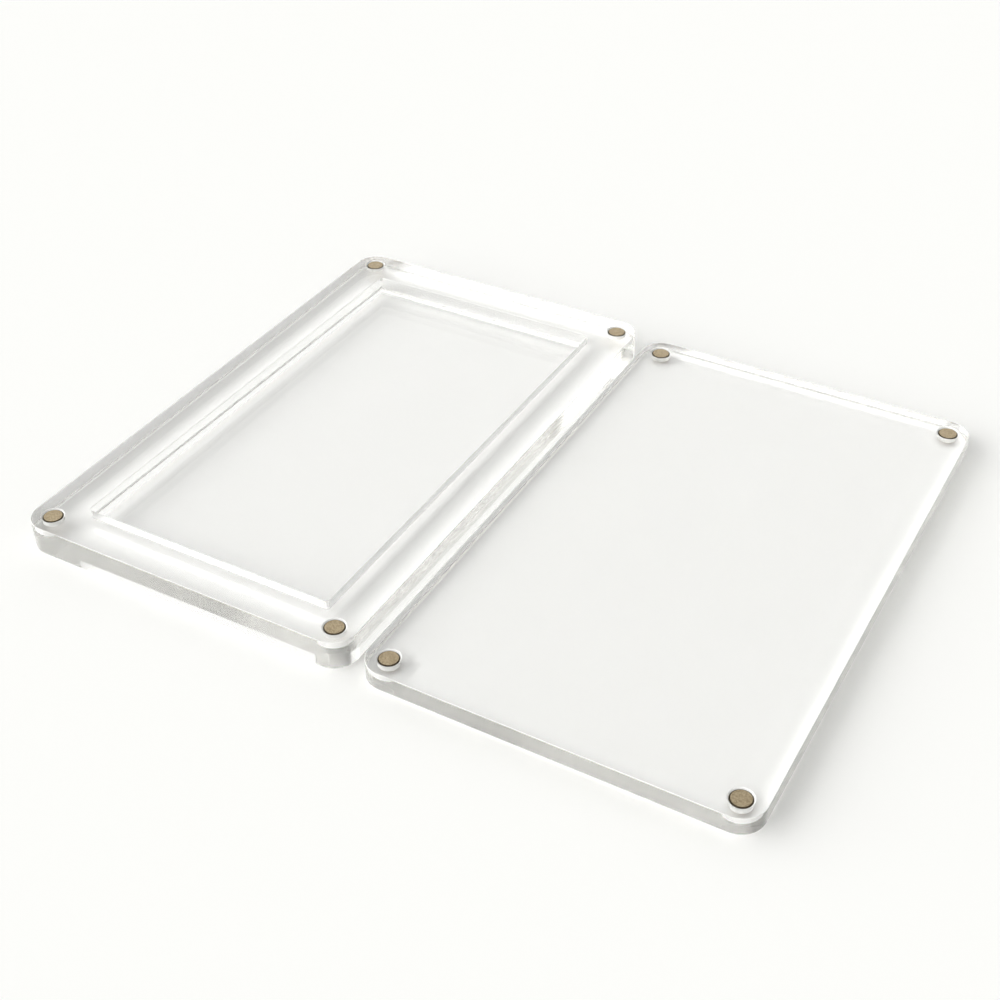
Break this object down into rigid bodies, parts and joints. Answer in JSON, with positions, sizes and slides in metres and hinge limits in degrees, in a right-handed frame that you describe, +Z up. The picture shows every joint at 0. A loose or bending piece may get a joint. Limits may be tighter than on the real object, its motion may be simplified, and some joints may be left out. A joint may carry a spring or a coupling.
{
  "type": "clear magnetic display case for a card pack",
  "caption": "Flat clear plastic case in two halves, a thick tray with a rectangular pocket and a flat lid, held shut by disc magnets in their corners.",
  "frame": {"origin": "on the table under the line midway between the two halves, at the middle of their length", "axes": "+X from the tray towards the lid, across both halves; +Y along the halves, away from the front; +Z up out of the mating faces"},
  "size_m": [0.189, 0.153, 0.008],
  "materials": {
    "clear_acrylic": "clear cast acrylic, polished faces and edges",
    "nickel_plate": "nickel plated magnet, satin"
  },
  "bodies": {
    "tray": {"tray": "clear_acrylic", "tray_magnet_front_left": "nickel_plate", "tray_magnet_front_right": "nickel_plate", "tray_magnet_back_left": "nickel_plate", "tray_magnet_back_right": "nickel_plate"},
    "lid": {"lid": "clear_acrylic", "lid_magnet_front_left": "nickel_plate", "lid_magnet_front_right": "nickel_plate", "lid_magnet_back_left": "nickel_plate", "lid_magnet_back_right": "nickel_plate"}
  },
  "joints": [
    {"name": "lid_turn", "type": "hinge", "parent": "tray", "child": "lid", "pos_m": [0, 0, 0.00655], "axis": [0, -1, 0], "range_deg": [0, 180]}
  ]
}
